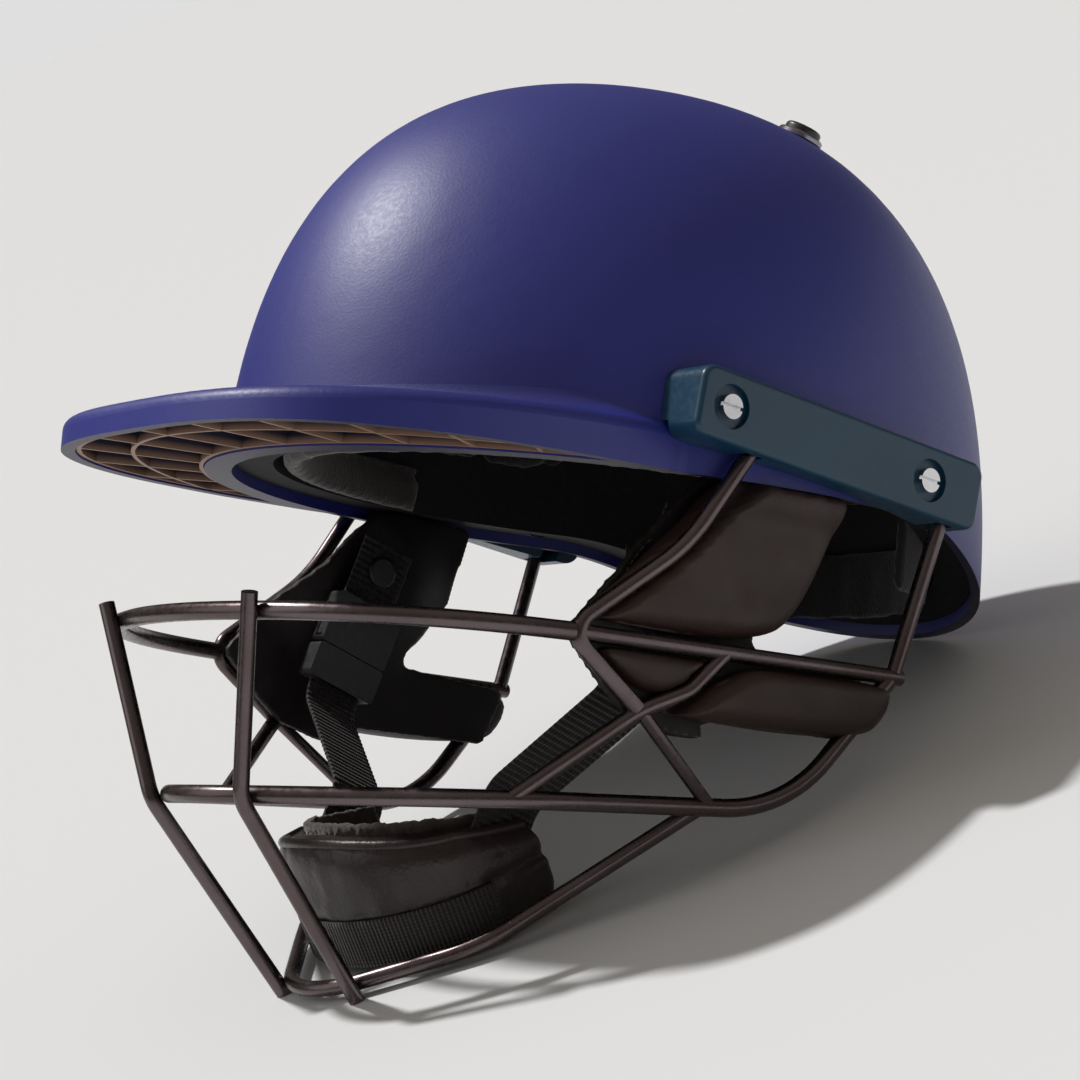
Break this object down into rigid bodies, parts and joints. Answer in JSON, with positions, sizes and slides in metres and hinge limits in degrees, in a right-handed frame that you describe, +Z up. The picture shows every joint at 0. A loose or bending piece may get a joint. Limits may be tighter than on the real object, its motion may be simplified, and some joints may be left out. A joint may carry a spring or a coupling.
{
  "type": "cricket helmet",
  "caption": "Cricket batting helmet with a moulded peak, a welded rod face guard clamped by side blocks, padded ear guards and a buckled chin strap with a cup.",
  "frame": {"origin": "on the floor the helmet stands on, under the middle of its overall length and width", "axes": "+Z up from the floor, -Y towards the face side and the peak, +X towards the wearer's left; the helmet is tipped back on its rear rim and the guard's two feet"},
  "size_m": [0.2182, 0.3132, 0.2255],
  "materials": {
    "shell": "satin royal blue with a fine grain",
    "peak_ribs": "copper brown edges on dark navy",
    "liner_foam": "black moulded foam",
    "liner_fabric": "near black stitched padding",
    "sweatband_fabric": "grey brown rolled fabric",
    "vent_base": "silver ring",
    "vent_cap": "dark plain button",
    "guard": "satin gunmetal titanium",
    "block": "petrol blue moulding",
    "packer": "dark backing piece",
    "fastener": "bright steel",
    "stud": "black moulded stud",
    "ear_lining": "dark brown lined sheet",
    "ear_pad": "dark brown grained moulded foam",
    "webbing": "ribbed black brown webbing",
    "buckle": "black moulding",
    "cup": "wrinkled dark brown leather",
    "fleece": "brown fleece"
  },
  "bodies": {
    "helmet": {"outer_shell": "shell", "peak_stiffener": "peak_ribs", "impact_liner": "liner_foam", "crown_pad": "liner_fabric", "rear_pad": "liner_fabric", "side_pad_left": "liner_fabric", "side_pad_right": "liner_fabric", "nape_band": "liner_fabric", "front_sweatband": "sweatband_fabric", "vent_base_left": "vent_base", "vent_base_right": "vent_base", "vent_cap_left": "vent_cap", "vent_cap_right": "vent_cap", "top_bar": "guard", "mid_bar": "guard", "low_bar": "guard", "side_rail_left": "guard", "side_rail_right": "guard", "diagonal_rod_left": "guard", "diagonal_rod_right": "guard", "front_rod_left": "guard", "front_rod_right": "guard", "rear_rod_left": "guard", "rear_rod_right": "guard", "strut_left": "guard", "strut_right": "guard", "upright_left": "guard", "upright_right": "guard", "guard_plate_left": "guard", "guard_plate_right": "guard", "mount_block_left": "block", "mount_block_right": "block", "block_packer_left": "packer", "block_packer_right": "packer", "screws": "fastener", "nuts": "fastener", "strap_stud_left": "stud", "strap_stud_right": "stud", "ear_lining_left": "ear_lining", "ear_lining_right": "ear_lining", "ear_pad_upper_left": "ear_pad", "ear_pad_upper_right": "ear_pad", "ear_pad_front_left": "ear_pad", "ear_pad_front_right": "ear_pad", "ear_pad_rear_left": "ear_pad", "ear_pad_rear_right": "ear_pad"},
    "strap": {"strap_left": "webbing", "strap_right_upper": "webbing", "strap_right_lower": "webbing", "buckle_socket": "buckle", "buckle_plug": "buckle"},
    "chin_cup": {"chin_cup": "cup", "cup_lining": "fleece", "cup_sleeve": "webbing", "cup_rivets": "fastener"},
    "prong_rear": {"prong_rear": "buckle"},
    "prong_front": {"prong_front": "buckle"}
  },
  "joints": [
    {"name": "strap_swing", "type": "hinge", "parent": "helmet", "child": "strap", "pos_m": [0, -0.01718, 0.08768], "axis": [1, 0, 0], "range_deg": [-3, 70]},
    {"name": "chin_cup_tilt", "type": "hinge", "parent": "strap", "child": "chin_cup", "pos_m": [0, -0.09081, 0.02441], "axis": [1, 0, 0], "range_deg": [-12, 12]},
    {"name": "prong_rear_squeeze", "type": "slide", "parent": "strap", "child": "prong_rear", "axis": [0, -0.6517, 0.7584], "range_m": [0, 0.0016], "stiffness_N_per_m": 600},
    {"name": "prong_front_squeeze", "type": "slide", "parent": "strap", "child": "prong_front", "axis": [0, 0.6517, -0.7584], "range_m": [0, 0.0016], "stiffness_N_per_m": 600}
  ],
  "couplings": [
    {"joint": "prong_front_squeeze", "follows": "prong_rear_squeeze", "ratio": 1}
  ]
}
